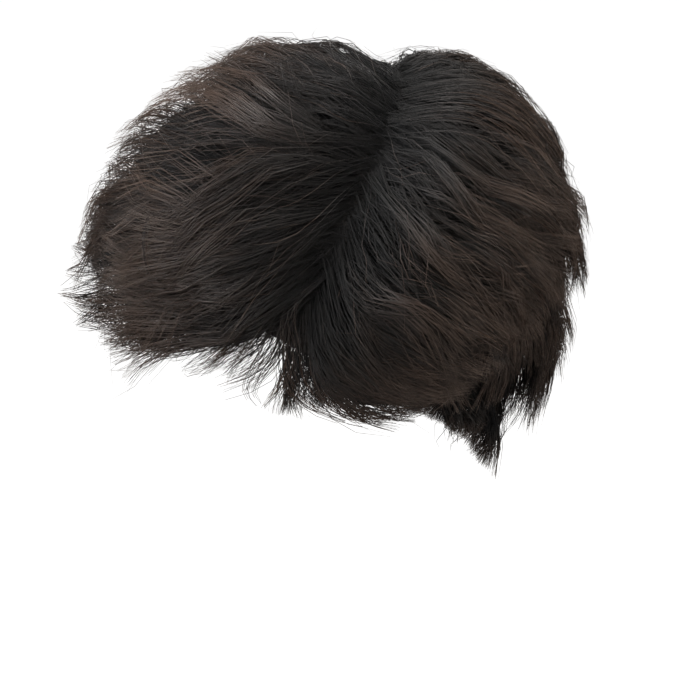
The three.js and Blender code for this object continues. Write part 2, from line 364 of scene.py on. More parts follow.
class Layer:
    # one layer of a section: tufts of clumps of strands, which gather towards their tips
    def __init__(self, section, look, part):
        self.section, self.look, self.part = section, look, part
        self.rng = np.random.default_rng([look["seed"], look["salt"], int(100 * part[0])])
        tufts = max(1, round(look["tufts"] * (part[1] - part[0])))
        clumps = tufts * look["clumps"]
        self.count = {"tuft": tufts, "clump": clumps, "strand": clumps * look["strands"]}
        self.u = np.linspace(0, 1, look["points"])[None] ** combing["crowding"]

    def each(self, group, values):
        # one value for each tuft, clump or strand, as a column with a row for each strand
        return np.repeat(values, self.count["strand"] // self.count[group])[:, None]

    def even(self, group):
        # evenly spread from 0 to 1
        return self.each(group, self.rng.random(self.count[group]))

    def bell(self, group, amount):
        # a bell curve about 0
        return self.each(group, amount * self.rng.standard_normal(self.count[group]))

    def tonePart(self, group):
        amount, power = combing[group + "Tone"]
        return amount * self.even(group) ** power

    def spreadOut(self):
        # sideways place, in mm, with the gathering
        look, tufts, steps = self.look, self.count["tuft"], combing["widthSteps"]
        grid = np.linspace(self.part[0], self.part[1], steps)
        ways = self.section.way(grid, np.full(steps, combing["widthAt"]))[0]
        line = aboveForm(ways, np.full(steps, combing["widthHeight"]))
        width = np.concatenate([[0], np.cumsum(np.linalg.norm(np.diff(line, axis=0), axis=1))])
        middles = width[-1] * (self.rng.permutation(tufts) + self.rng.random(tufts)) / tufts
        self.inTuft = 2 * self.even("clump") - 1
        self.inClump = 2 * self.even("strand") - 1
        gone = smooth(self.u * combing["gathered"])
        place = self.each("tuft", middles)
        place = place + look["tuftWidth"] / 2 * self.inTuft * (1 - look["tuftGather"] * gone)
        self.place = place + look["clumpWidth"] / 2 * self.inClump * (1 - look["gather"] * gone)
        self.across = np.clip(np.interp(self.place, width, grid), combing["edge"], 1 - combing["edge"])
        self.calm = throughValues(look["calm"], self.across)

    def cut(self):
        # ends and starts, as shares of the way from the first root to the last tip
        look, across = self.look, self.across
        whole = self.section.way(across, 0 * across)[2][:, :1] * combing["alongRadian"]
        usual = look["reach"] * look["share"] / whole
        lowest = -1 if look["tiers"] > 2 else 0  # of several tiers the first has twice the tufts
        step = np.maximum(self.rng.integers(lowest, look["tiers"], self.count["tuft"]), 0)
        tier = self.each("tuft", look["first"] + (1 - look["first"]) * step / max(look["tiers"] - 1, 1))
        tierPlace = self.each("tuft", step) * combing["tierApart"]
        chopSeed = look["seed"] + combing["chopSeed"]
        chop = look["choppy"] * ripple(chopSeed, self.place[:, -1:], tierPlace, *combing["chopField"])
        chop = chop + self.bell("clump", look["uneven"]) + self.bell("strand", look["ragged"])
        last = throughValues(look["tipTo"], across[:, -1:])
        stop = usual + np.maximum(last - usual, combing["least"]) * tier + chop / whole
        uncut = np.random.default_rng(look["seed"]).random((self.count["strand"], 1))
        limit = last + combing["tipSlack"] - combing["tipSpread"] * self.even("clump")
        stop = np.minimum(stop, limit - combing["tipSpread"] * uncut ** 2)
        apart = look["away"] + throughValues(look["gap"], across[:, :1])
        apart = apart + self.bell("strand", look["rootFuzz"])
        reach = usual * (1 + self.bell("clump", combing["reachSpread"]))
        first = apart / whole
        begin = np.where(tier < combing["firstTier"], first, np.maximum(stop - reach, first))
        reach = np.maximum(stop - begin, combing["shortest"] / whole)
        self.whole, self.usual, self.tier, self.begin = whole, usual, tier, begin
        self.along = begin + reach * self.u
        self.arc = whole * reach

    def lift(self):
        # height in mm: nothing lies above the first roots, and the ends come to the outside
        look, u, along = self.look, self.u, self.along
        under, over = self.section.heights(self.across, along)
        above = along - np.maximum(0, along - self.usual)
        level = np.clip((along - np.maximum(self.begin, 0)) / np.maximum(above, combing["least"]), 0, 1)
        level = np.where(self.tier < combing["firstTier"], 1, level)
        level = look["low"] + (look["high"] - look["low"]) * level
        level = level - np.abs(self.bell("strand", look["depth"]))
        self.wild = self.even("strand") < look["wild"]
        high = under + (over - under) * np.clip(level, 0, look["high"])
        swell = self.bell("tuft", look["swell"])
        least, spread = combing["swellTurns"]
        swell = swell * np.sin(2 * np.pi * ((least + spread * self.even("tuft")) * u + self.even("tuft")))
        puff = self.bell("tuft", look["raised"]) + self.bell("clump", look["raised"] * combing["clumpRaised"])
        puff = puff + self.bell("strand", look["fluff"])
        flick = look["flick"] * self.even("clump") ** 2
        flick = flick * self.each("clump", self.rng.choice(combing["flicks"], self.count["clump"]))
        perk = np.abs(self.bell("tuft", look["perk"]))
        bumps = look["relief"] * ripple(look["seed"], self.place, along * self.whole, *combing["bumpField"])
        puff = puff + look["round"] * (combing["crest"] - 0.5 * self.inTuft ** 2)
        puff = puff + combing["clumpRound"] * look["round"] * (combing["crest"] - 0.5 * self.inClump ** 2)
        body = (swell + puff) * smooth(u * combing["liftSpeed"])
        self.raised = self.calm * (body + flick * u ** 4 + perk * u ** 3 + bumps)
        high = high + self.raised + self.wild * np.abs(self.bell("strand", look["wildLift"])) * u
        high = np.minimum(high, over + look["over"])
        rise = look["riseBy"] * throughValues(look["rise"], self.across)
        self.high = base + (np.maximum(high, base) - base) * smooth(u * self.arc / rise + combing["rootRise"])

    def sway(self):
        # sideways shift in mm: swings, waves, hooks and strays
        look, u = self.look, self.u
        swing = self.bell("tuft", look["swing"])
        clumpSwing = self.bell("clump", look["swing"])
        wide = self.even("clump") < combing["wideShare"]
        swing = swing + clumpSwing * np.where(wide, combing["wideBy"], 1)
        swing = np.clip(swing + self.bell("strand", look["loose"]), -look["most"], look["most"])
        flowSeed = look["seed"] + combing["flowSeed"]
        flow = ripple(flowSeed, self.place, self.along * self.whole, *combing["flowField"])
        offset = np.tan(np.radians(swing)) * self.arc * u + look["flow"] * flow
        least, spread = combing["waveTurns"]
        waving = smooth(u * combing["waveSpeed"])
        turns = (least + spread * self.even("tuft")) * u + self.even("tuft")
        offset = offset + self.bell("tuft", look["wave"]) * np.sin(2 * np.pi * turns) * waving
        turns = (combing["clumpTurns"] + self.even("clump")) * u + self.even("clump")
        offset = offset + look["wave"] * combing["clumpWave"] * np.sin(2 * np.pi * turns) * waving
        offset = offset + self.bell("clump", look["hook"]) * u ** 3
        offset = offset + self.bell("strand", look["stray"]) * u ** 2
        offset = offset + self.wild * (self.bell("strand", look["wildSide"]) * u)
        turns = (combing["curlTurns"] + self.even("strand")) * u + self.even("strand")
        curl = (look["curl"] + combing["wildCurl"] * self.wild) * np.sin(2 * np.pi * turns)
        offset = self.calm * (offset + curl * smooth(u * combing["curlSpeed"]))
        far = np.clip(self.along, 0, 1)
        bow = throughValues(look["bow"], self.across) * np.sin(np.pi * far)
        peel = throughValues(look["peel"], self.across) * 6.75 * far * (1 - far) ** 2  # 6.75 makes its peak 1
        self.offset = offset + bow + peel

    def thickness(self):
        taper = np.interp(self.u[0], *combing["taper"])
        spread = combing["thinnest"] + combing["widthSpread"] * self.even("strand")
        thick = 0.5 * self.look["width"] * taper[None] * spread
        return np.where(self.wild, combing["wildWidth"] * thick, thick)

    def tones(self):
        look = self.look
        tone = self.tonePart("tuft") + self.tonePart("clump") + self.tonePart("strand")
        # paler where a strand is raised and darker where it sinks: painted light and shade on the relief
        tone = np.minimum(look["tone"] + tone + look["paintedReliefShade"] * self.raised, look["palest"])
        # the tone fades to dark over the dark length from the guide roots: painted shade at the roots
        return look["pale"] * tone * smooth(self.along * self.whole / look["dark"])

    def comb(self):
        self.spreadOut()
        self.cut()
        self.lift()
        self.sway()
        way, side = self.section.way(self.across, self.along)[:2]
        way = unit(way + side * (self.offset / combing["acrossRadian"])[..., None])
        return aboveForm(way, self.high), self.thickness(), self.tones()


# Listed locks. curl and the fuzz of heights are in mm
lockShape = {
    "points": 9, "lengthSpread": 0.1, "shorter": 0.08, "lookAhead": 0.02, "inside": 0.7, "turns": 0.5,
    "fuzz": 0.6, "clear": 0.2, "acrossRadian": 105, "thinnest": 0.7, "widthSpread": 0.5, "tonePower": 1.5,
    "taper": ((0, 0.1, 0.6, 1), (0.8, 1, 0.9, 0.45)), "curlSpeed": 2, "fuzzSpeed": 3,
}


def lock(path, heights, strands, spread, seed, width=0.3, curl=0.5):
    # directions along its path, heights over the form and half widths, each from root to tip
    rng = np.random.default_rng(seed)
    share = np.linspace(0, 1, lockShape["points"])
    longer = lockShape["lengthSpread"] * rng.standard_normal((strands, 1))
    u = share[None] * (1 + longer - lockShape["shorter"])
    ways = np.array([bearing(*p) for p in path])
    way = unit(through(ways, u))
    step = lockShape["lookAhead"]
    near = np.clip(u, step, 1 - step)
    ahead = unit(through(ways, near + step) - through(ways, near - step))
    side = unit(np.cross(way, ahead))
    offset = throughValues(spread, u) * rng.standard_normal((strands, 1)) * lockShape["inside"]
    phase = (lockShape["turns"] + rng.random((strands, 1))) * u + rng.random((strands, 1))
    offset = offset + curl * np.sin(2 * np.pi * phase) * smooth(u * lockShape["curlSpeed"])
    fuzz = lockShape["fuzz"] * rng.standard_normal((strands, 1)) * smooth(u * lockShape["fuzzSpeed"])
    high = np.maximum(throughValues(heights, u) + fuzz, base + lockShape["clear"])
    lines = aboveForm(unit(way + side * (offset / lockShape["acrossRadian"])[..., None]), high)
    taper = np.interp(share, *lockShape["taper"])
    thick = lockShape["thinnest"] + lockShape["widthSpread"] * rng.random((strands, 1))
    thick = 0.5 * width * taper[None] * thick
    tone = rng.random((strands, 1)) ** lockShape["tonePower"]
    return lines, thick, np.repeat(tone, lockShape["points"], 1)


# How hair is combed. A list runs across the section, from its first guide to its last
common = {
    # points of a strand, clumps of a tuft, strands of a clump, tiers of tips
    "points": 7, "clumps": 5, "strands": 17, "tiers": 4,
    # widths in mm, and how far they draw together at the tip
    "tuftWidth": 27, "tuftGather": 0.4, "clumpWidth": 9, "gather": 0.8,
    # length and unevenness of tips in mm; tipTo is the last tip as a share of the guides
    "reach": 78, "share": 1, "first": 0, "choppy": 9, "uneven": 3, "ragged": 2.5, "tipTo": [1, 1],
    # roots in mm past the guides' roots
    "rootFuzz": 6, "away": 0, "gap": [0, 0],
    # low, high and depth are shares from under to over, and the other heights are in mm
    "low": 0.15, "high": 1.0, "depth": 0.07, "swell": 1.8, "raised": 2, "fluff": 0.6, "flick": 5, "perk": 2,
    "relief": 2.6, "round": 5, "over": 6, "rise": [12, 12], "riseBy": 1, "calm": [1, 1],
    # swing, loose and most are in degrees, and the other shifts are in mm
    "swing": 7, "loose": 1.5, "most": 20, "wave": 4.5, "flow": 3, "hook": 8, "stray": 2, "curl": 0.45,
    "bow": [0, 0], "peel": [0, 0],
    # share of wild strands, and how far they stand off in mm
    "wild": 0.07, "wildLift": 3.0, "wildSide": 12,
    # width in mm; tones from 0 to 1; dark is the length in mm of the painted shade at the root; the tone for
    # each mm of raise paints light on raised strands and shade on sunk ones
    "width": 0.4, "pale": 0.8, "palest": 0.68, "tone": 0, "paintedReliefShade": 0.05, "dark": 14,
    # keeps the random draws of layers apart
    "salt": 0,
}
short = {
    **common, "strands": 11, "tiers": 3, "choppy": 4, "tuftWidth": 26, "tuftGather": 0.25, "gather": 0.5,
    "low": 0.35, "relief": 1.2, "perk": 1, "flick": 3, "round": 2, "hook": 3, "wave": 2, "flow": 2,
    "swing": 4, "wildSide": 8,
}
# What each layer changes: the body, locks with raised tips over it, single flyaways,
# near-black roots beside the parting, painted shade in its valley, and fewer thick strands hidden below,
# darkened as painted shade
layers = {
    "body": {},
    "locks": {
        "salt": 1, "share": 0.72, "riseBy": 1.8, "first": 0.08, "tiers": 7, "clumps": 3, "strands": 9,
        "tuftWidth": 15, "tuftGather": 0.75, "clumpWidth": 7, "gather": 0.75, "low": 0.75, "high": 1.12,
        "raised": 2.2, "flick": 8, "swell": 2.2, "swing": 8, "most": 26, "wave": 4, "hook": 8, "uneven": 8,
        "ragged": 3, "tone": 0.15,
    },
    "flyaways": {
        "salt": 2, "share": 0.45, "riseBy": 0.8, "tiers": 12, "clumps": 1, "strands": 1, "tuftWidth": 4,
        "low": 0.95, "high": 1.15, "raised": 1.2, "flick": 4, "swell": 1.5, "swing": 20, "most": 50,
        "wave": 4, "hook": 10, "curl": 2, "wild": 0, "uneven": 10, "width": 0.24, "pale": 0.85, "round": 0,
        "paintedReliefShade": 0, "dark": 8, "tone": 0.3, "over": 5, "tipTo": [0.9, 0.9],
    },
    # near-black strands at the parting: painted shade in the parting's valley
    "roots": {
        "salt": 4, "share": 0.5, "tiers": 1, "tuftWidth": 20, "strands": 8, "rootFuzz": 4, "away": -2,
        "swing": 9, "most": 40, "loose": 4, "raised": 0.6, "perk": 0, "flick": 0, "uneven": 6, "ragged": 6,
        "pale": 0.03, "round": 0, "over": 1, "riseBy": 1.1, "choppy": 0, "points": 6,
    },
    # dark thick strands hidden below: painted shade deep in the hair
    "under": {
        "salt": 3, "points": 4, "strands": 5, "low": 0.03, "high": 0.42, "raised": 0.3, "flick": 0, "perk": 0,
        "swell": 0.4, "wild": 0, "width": 0.9, "pale": 0.1, "round": 0, "away": 9, "tipTo": [0.95, 0.95],
        "tuftGather": 0.2, "gather": 0.2, "uneven": 8, "ragged": 6,
    },
}


def growSection(node, section, parts=(("", 0, 1),)):
    # a part is the ending of its name and its share of the section; placed locks go with the front
    shape = Section(section["guides"])
    for ending, first, last in parts:
        batches = []
        for layer, count in section["tufts"].items():
            look = {**section["look"], **layers[layer], "tufts": count}
            batches.append(Layer(shape, look, (first, last)).comb())
        if ending != "_back":
            batches += [lock(*each) for each in section.get("placedLocks", [])]
        growStrands(node + "_hair" + ending, batches, [node])


def growPair(node, section):
    growSection(node + "_left", section)
    growSection(node + "_right", {**section, "guides": mirrored(section["guides"])})


# Sections of hair, near the forms of the CAD part. A guide is its root, tip, heights over and heights under.
# A lock is its path, heights, number of strands, half widths and seed, then its width and curl
parting = [[19, 61], [22, 51], [28, 40], [39, 29], [62, 19], [105, 14], [150, 18], [168, 24]]
rightOfCrown = (parting[7], [-152, 88], [5, 5, 18, 20], [base, 4, 14, 15])
leftOfCrown = (parting[7], [152, 88], [7, 18, 20, 20], [base, 4, 15, 16.5])

topRight = {
    "guides": [
        (parting[0], [-40, 86], [8, 13, 17, 16], [5.4, 7.5, 9, 10]),
        (parting[1], [-48, 84], [6, 18, 23, 26], [base, 7.5, 12, 13]),
        (parting[2], [-62, 88], [6, 23, 26, 22], [base, 5, 13, 14]),
        (parting[3], [-76, 91], [7, 24, 30, 24], [base, 5, 13, 14]),
        (parting[4], [-92, 91], [7, 20, 30, 25], [base, 5, 14, 15]),
        (parting[5], [-110, 91], [7, 17, 27, 22], [base, 5, 15, 16.5]),
        (parting[6], [-132, 90], [6, 9, 21, 22], [base, 5, 15, 16.5]),
        rightOfCrown,
    ],
    "look": {
        **common, "seed": 11, "reach": 94, "dark": 26,
        "tipTo": [1, 1, 1, 1, 1.02, 1.05, 1.12, 1.16],
        "peel": [9, 16, 20, 20, 17, 12, 6, 0],
        "calm": [0.6, 0.9, 1, 1, 0.9, 0.7, 0.5, 0.3],
        "gap": [2, 4, 4, 1, 0, 0, 0, 0],
        "rise": [18, 26, 28, 26, 22, 18, 16, 14],
    },
    "tufts": {"body": 49, "locks": 20, "flyaways": 260, "roots": 16, "under": 43},
    "placedLocks": [
        ([[-20, 28], [-55, 30], [-82, 40]], [14, 20, 24], 26, [6, 5, 3], 101),
        ([[-25, 33], [-52, 36], [-74, 45]], [14, 22, 27], 22, [6, 5, 3], 102),
        ([[-15, 40], [-42, 44], [-66, 54]], [14, 24, 30], 26, [6, 5, 3], 103),
        ([[-18, 46], [-40, 50], [-61, 60]], [14, 23, 28], 22, [6, 5, 3], 104),
        ([[-10, 52], [-34, 58], [-56, 68]], [14, 23, 30], 26, [6, 5, 3], 105),
        ([[-6, 58], [-30, 66], [-52, 78]], [12, 20, 27], 22, [6, 5, 4], 106),
        ([[-5, 62], [-26, 72], [-47, 82]], [12, 22, 33], 26, [6, 5, 3], 107),
        ([[-8, 66], [-28, 77], [-46, 85]], [10, 22, 33], 26, [6, 5, 4], 108),
        ([[-20, 70], [-33, 77], [-45, 82]], [20, 27, 34], 28, [5, 4, 2], 109),
        ([[-24, 74], [-33, 80], [-41, 84]], [20, 26, 30], 26, [5, 4, 3], 110),
        ([[-36, 55], [-46, 60], [-55, 65]], [25, 29, 34], 26, [6, 4, 1.2], 115),
        ([[-34, 66], [-43, 70], [-51, 73]], [24, 30, 36], 28, [6, 4, 1.2], 116),
        ([[-32, 67], [-41, 73], [-49, 78]], [24, 30, 38], 28, [6, 4, 1.2], 117),
        ([[-34, 74], [-41, 79], [-47, 82]], [24, 31, 40], 28, [6, 4, 1.2], 118),
        ([[-29, 75], [-37, 82], [-45, 88]], [24, 28, 33], 26, [6, 4, 1.5], 119),
        ([[-18, 42], [-44, 48], [-64, 57]], [16, 26, 31], 34, [8, 7, 4], 120),
        ([[-22, 48], [-42, 55], [-58, 62]], [16, 26, 32], 34, [8, 7, 4], 121),
        ([[-30, 38], [-56, 44], [-74, 53]], [18, 28, 32], 34, [8, 7, 4], 122),
        ([[-18, 74], [-27, 81], [-38, 88]], [18, 22, 24], 26, [5, 4, 3], 111),
        ([[-16, 76], [-25, 82], [-33, 86.5]], [14, 18, 19], 22, [5, 4, 3], 112),
        ([[-8, 66], [-26, 74], [-44, 82]], [14, 24, 32], 22, [6, 5, 3], 113),
        ([[-22, 55], [-19, 60], [-15, 67]], [29, 31, 28], 5, [2, 1, 1], 114),
    ],
}
growSection("top_right", topRight, (("_front", 0, 0.5), ("_back", 0.5, 1)))

topLeft = {
    "guides": [
        leftOfCrown,
        (parting[6], [134, 90], [7, 18, 20, 24], [base, 4, 15, 16.5]),
        (parting[5], [116, 91], [7, 18, 25, 22], [base, 4, 15, 16.5]),
        (parting[4], [98, 91], [7, 19, 26, 21], [base, 4, 14, 15]),
        (parting[3], [81, 84], [7, 19, 24, 20], [base, 4, 13, 14]),
        (parting[2], [68, 85], [6, 15, 22, 21], [base, 4, 12, 13]),
        (parting[1], [58, 88], [6, 11, 16, 15], [base, 4, 9, 10]),
        (parting[0], [48, 91.5], [6, 9, 11, 10], [3, 6, 7.5, 7.5]),
    ],
    "look": {
        **common, "seed": 12, "reach": 82, "dark": 46, "pale": 0.68, "hook": 5, "wave": 3.5, "perk": 1,
        "flick": 3.5,
        "tipTo": [1.16, 1.06, 0.98, 0.96, 1, 1, 1, 1],
        "bow": [0, 0, 0, 0, -3, -9, -17, -24],
        "peel": [-3, -7, -11, -14, -14, -10, -5, 0],
        "calm": [0.5, 0.6, 0.7, 0.8, 1, 0.9, 0.6, 0.4],
        "gap": [0, 0, 0, 2, 7, 12, 10, 3],
        "rise": [14, 16, 20, 26, 30, 34, 32, 20],
    },
    "tufts": {"body": 42, "locks": 16, "flyaways": 200, "roots": 16, "under": 37},
    "placedLocks": [
        ([[62, 19], [92, 34], [100, 58]], [7, 24, 27], 14, [6, 7, 5], 301),
        ([[85, 16], [108, 34], [112, 60]], [7, 23, 27], 16, [6, 7, 5], 302),
        ([[110, 15], [122, 36], [121, 62]], [7, 23, 26], 16, [6, 7, 5], 303),
        ([[135, 17], [132, 36], [129, 62]], [7, 22, 25], 14, [6, 7, 5], 304),
        ([[45, 60], [54, 68], [63, 76]], [18, 24, 27], 26, [6, 5, 2.5], 305),
        ([[40, 70], [50, 79], [59, 84.5]], [13, 18, 20], 26, [6, 5, 2.5], 306),
        ([[60, 52], [72, 62], [84, 73]], [21, 26, 26], 26, [6, 5, 2.5], 307),
        ([[78, 45], [90, 56], [100, 68]], [22, 27, 27], 26, [6, 5, 2.5], 308),
        ([[50, 66], [57, 72], [66, 80]], [19, 24, 25], 22, [6, 5, 2.5], 309),
        ([[70, 62], [80, 72], [88, 82]], [23, 26, 23], 22, [6, 5, 2.5], 310),
    ],
}
growSection("top_left", topLeft, (("_back", 0, 0.5), ("_front", 0.5, 1)))

crownBack = {
    "guides": [
        rightOfCrown,
        ([168, 25], [-168, 88], [5, 9, 20, 20], [base, 4, 13, 14]),
        ([168, 25], [178, 88], [6, 16, 22, 20], [base, 4, 13, 14]),
        ([168, 25], [166, 88], [7, 20, 23, 21], [base, 4, 14, 15]),
        leftOfCrown,
    ],
    "look": {
        **common, "seed": 13, "reach": 70, "choppy": 12,
        "tipTo": [1.16, 1.2, 1.22, 1.2, 1.16],
        "calm": [0.3, 0.4, 0.8, 1, 0.8],
    },
    "tufts": {"body": 16, "locks": 6, "flyaways": 50, "roots": 6, "under": 20},
}
growSection("crown_back", crownBack)

fringe = {
    "guides": [
        ([21, 56], [2, 86], [4, 7, 8, 8], [base, 2.4, 3, 3]),
        ([14, 53], [-14, 85], [4, 8, 10, 10], [base, 2.6, 3.4, 4]),
        ([2, 53], [-26, 85], [4, 9, 12, 12], [base, 2.8, 4, 5]),
        ([-12, 55], [-36, 87], [4, 10, 13, 13], [base, 3, 5, 6]),
        ([-28, 58], [-46, 90], [4, 10, 13, 13], [base, 3, 5, 6]),
    ],
    "look": {
        **common, "seed": 14, "clumps": 4, "strands": 9, "tiers": 3, "tuftWidth": 22, "reach": 34,
        "choppy": 4, "uneven": 4, "ragged": 5, "low": 0.3, "flick": 1.5, "perk": 0.5, "swell": 0.6,
        "raised": 0.6, "relief": 0.5, "round": 0, "rise": [8, 8], "swing": 5, "wave": 2, "most": 12,
        "loose": 3, "wild": 0.03, "wildLift": 1, "wildSide": 4, "width": 0.3,
    },
    "tufts": {"body": 14},
    "placedLocks": [
        ([[13.5, 64], [13, 68], [12, 75.5], [7, 82.5], [-2, 88]],
         [3, 4, 5, 6, 8], 18, [4, 3, 2.5, 3, 3], 201, 0.36),
        ([[14.5, 66], [14.5, 70.5], [14, 80.5], [10.5, 86.5], [7.5, 90.5]],
         [3, 4, 6, 6, 6], 14, [3, 3, 2, 2, 1.5], 202, 0.36),
        ([[12, 66], [10, 74.5], [6.5, 82], [5, 86.5], [7, 90]],
         [3, 5, 6, 7, 7], 12, [3, 3, 2, 2, 1.5], 203, 0.36),
        ([[14.5, 64], [14, 69.5], [14, 80.5], [18.5, 87.5], [27.5, 92]],
         [3, 4, 6, 7, 8], 20, [3, 3, 3, 2.5, 2], 204, 0.36),
        ([[17, 64], [17.5, 70.5], [18, 81], [24, 88], [32, 92.5]],
         [3, 4, 6, 8, 9], 26, [4, 4, 3, 3, 2], 205),
        ([[20, 64], [21, 71], [22.5, 83], [28, 89], [36.5, 93]],
         [4, 6, 8, 9, 10], 30, [4, 4, 3, 3, 2], 206),
        ([[23, 64], [24, 72], [27, 84], [34, 91], [48.5, 92]],
         [5, 8, 9, 10, 10], 34, [4, 4, 3, 3, 2], 207),
        ([[26, 64], [27.5, 73], [32, 85.5], [40.5, 92], [53, 89.5]],
         [6, 9, 10, 10, 11], 34, [4, 4, 3, 3, 2], 208),
        ([[30, 66], [32, 74.5], [37.5, 86.5], [47, 91], [57.5, 88]],
         [7, 10, 10, 11, 12], 34, [4, 4, 3, 3, 2], 209),
        ([[13, 66], [7, 75], [0, 83]], [3, 6, 10], 52, [5, 6, 5], 210, 0.27, 1.4),
        ([[12, 65], [2, 75], [-6, 82.5]], [3, 7, 11], 56, [5, 6, 5], 211, 0.27, 1.4),
        ([[8, 64], [-3, 76], [-12, 84]], [3, 9, 12], 56, [5, 6, 5], 212, 0.27, 1.4),
        ([[0, 66], [-11, 76], [-20, 83]], [3, 9, 13], 46, [5, 6, 5], 213, 0.27, 1.4),
    ],
}
growSection("fringe", fringe)

# the under layer: sides, sideburns and hair behind the ears are given for the left
sideLeft = {
    "guides": [
        ([105, 62], [103, 105], [5, 9, 11, 10], [base, base, base, 2.4]),
        ([90, 60], [89, 101], [5, 9, 11, 9], [base, base, base, 2.4]),
        ([76, 60], [75, 103], [5, 9, 10, 8], [base, base, base, 2.4]),
        ([62, 62], [62, 101], [5, 8, 9, 7], [base, base, base, 2.4]),
        ([48, 68], [52, 94], [4.6, 6.4, 7, 6], [base, base, base, 2.4]),
    ],
    "look": {**short, "seed": 15, "points": 6, "reach": 42, "tipTo": [1.08, 1.1, 1.08, 1.04, 1]},
    "tufts": {"body": 18, "under": 10},
}
growPair("side", sideLeft)

sideburnLeft = {
    "guides": [
        ([76, 105], [72, 108], [7, 8, 7.5, 6], [base, base, 2.2, 2.6]),
        ([66, 104], [66, 109.5], [7, 8, 7.5, 6], [base, base, 2.2, 2.6]),
        ([56, 100], [58, 104.5], [6, 7, 6.5, 5.5], [base, base, 2.2, 2.6]),
    ],
    "look": {
        **short, "seed": 16, "points": 6, "reach": 18, "tiers": 2, "swing": 2, "hook": 2, "tuftWidth": 10,
        "clumpWidth": 6, "flick": 1,
    },
    "tufts": {"body": 9},
}
growPair("sideburn", sideburnLeft)

earBackLeft = {
    "guides": [
        ([129, 62], [128, 130], [5, 13, 18, 16], [base, base, base, 3]),
        ([117, 62], [116, 125], [5, 13, 19, 17], [base, base, base, 3]),
        ([105, 62], [106, 114.5], [5, 12, 16, 15], [base, base, base, 3]),
    ],
    "look": {**short, "seed": 17, "reach": 52, "tipTo": [1.04, 1.05, 1.05]},
    "tufts": {"body": 28, "under": 12},
}
growPair("ear_back", earBackLeft)

backLower = {
    "guides": [
        ([-129, 62], [-128, 134], [5, 10, 15, 13], [base, base, base, 3]),
        ([-155, 60], [-155, 138], [5, 10, 14, 11], [base, base, base, 3]),
        ([-180, 60], [-180, 139], [5, 10, 14, 11], [base, base, base, 3]),
        ([-205, 60], [-205, 138], [5, 10, 14, 11], [base, base, base, 3]),
        ([-231, 62], [-232, 134], [5, 10, 15, 13], [base, base, base, 3]),
    ],
    "look": {**short, "seed": 18, "reach": 50, "choppy": 7, "tipTo": [1.02, 1.06, 1.07, 1.06, 1.02]},
    "tufts": {"body": 46, "under": 24},
}
growSection("back_lower", backLower)

nape = {
    "guides": [
        ([-132, 136], [-126, 147], [10, 13, 17, 18], [base, 3, 7, 11]),
        ([-156, 140], [-156, 146], [9, 11, 13, 12], [base, 3.4, 6, 8]),
        ([-180, 141], [-180, 146], [9, 11, 13, 11], [base, 3.4, 6, 8]),
        ([-204, 140], [-204, 146], [9, 11, 13, 12], [base, 3.4, 6, 8]),
        ([-228, 136], [-234, 147], [10, 13, 17, 18], [base, 3, 7, 11]),
    ],
    "look": {
        **short, "seed": 19, "points": 6, "reach": 24, "tiers": 2, "away": -9, "low": 0.5, "flick": 1,
        "swing": 3, "hook": 1.5, "wave": 1, "stray": 1.2, "curl": 0.3,
    },
    "tufts": {"body": 31},
}
growSection("nape", nape)
print("hair", totals["triangles"], "triangles")

# Cap: a fine net with sewn rows round it
capFinish = {
    "net": (0.006, 0.0055, 0.005), "gap": (0.0012, 0.0011, 0.001), "row": (0.011, 0.0098, 0.009),
    "mesh": 420, "rowsPerMetre": 95, "waveScale": 0.314,  # waveScale: for one row a metre
    "thread": (0.05, 0.2), "rowBetween": (0.8, 0.95),
    "roughness": 0.8, "shine": 0.15, "relief": 0.0004,
}
# edge is [turn, fall] from the front round to the back; angles in degrees, heights over the form in mm
capShape = {
    "edge": [
        [0, 61], [25, 63], [45, 76], [60, 104], [74, 108], [88, 101], [102, 106], [118, 126], [145, 139],
        [180, 143],
    ],
    "rounding": 7, "roundingSteps": 15, "turnStep": 3.0, "rings": 16, "outside": base, "inside": 0.7,
}


def makeCapMaterial():
    material, shader = newMaterial("cap_net")
    tree = material.node_tree
    nodes, links = tree.nodes, tree.links
    place = nodes.new("ShaderNodeTexCoord").outputs["Object"]
    cells = nodes.new("ShaderNodeTexVoronoi")
    cells.feature = "DISTANCE_TO_EDGE"
    cells.inputs["Scale"].default_value = capFinish["mesh"]
    links.new(place, cells.inputs["Vector"])
    thread = addRange(tree, cells.outputs["Distance"], capFinish["thread"], (1, 0))
    rows = nodes.new("ShaderNodeTexWave")
    rows.bands_direction = "Z"
    rows.inputs["Scale"].default_value = capFinish["rowsPerMetre"] * capFinish["waveScale"]
    links.new(place, rows.inputs["Vector"])
    row = addRange(tree, rows.outputs["Fac"], capFinish["rowBetween"], (0, 1))
    shade = None
    for name, factor in (("net", thread), ("row", row)):
        mix = nodes.new("ShaderNodeMix")
        mix.data_type = "RGBA"
        links.new(factor.outputs["Result"], mix.inputs[0])
        if shade:
            links.new(shade, mix.inputs[6])  # inputs 6 and 7 are the two colours, output 2 the mix
        else:
            mix.inputs[6].default_value = (*capFinish["gap"], 1)
        mix.inputs[7].default_value = (*capFinish[name], 1)
        shade = mix.outputs[2]
    rise = nodes.new("ShaderNodeMath")
    links.new(thread.outputs["Result"], rise.inputs[0])
    links.new(row.outputs["Result"], rise.inputs[1])
    bump = nodes.new("ShaderNodeBump")
    bump.inputs["Distance"].default_value = capFinish["relief"]
    links.new(rise.outputs[0], bump.inputs["Height"])
    links.new(shade, shader.inputs["Base Color"])
    links.new(bump.outputs["Normal"], shader.inputs["Normal"])
    shader.inputs["Roughness"].default_value = capFinish["roughness"]
    shader.inputs["Specular IOR Level"].default_value = capFinish["shine"]
    return material


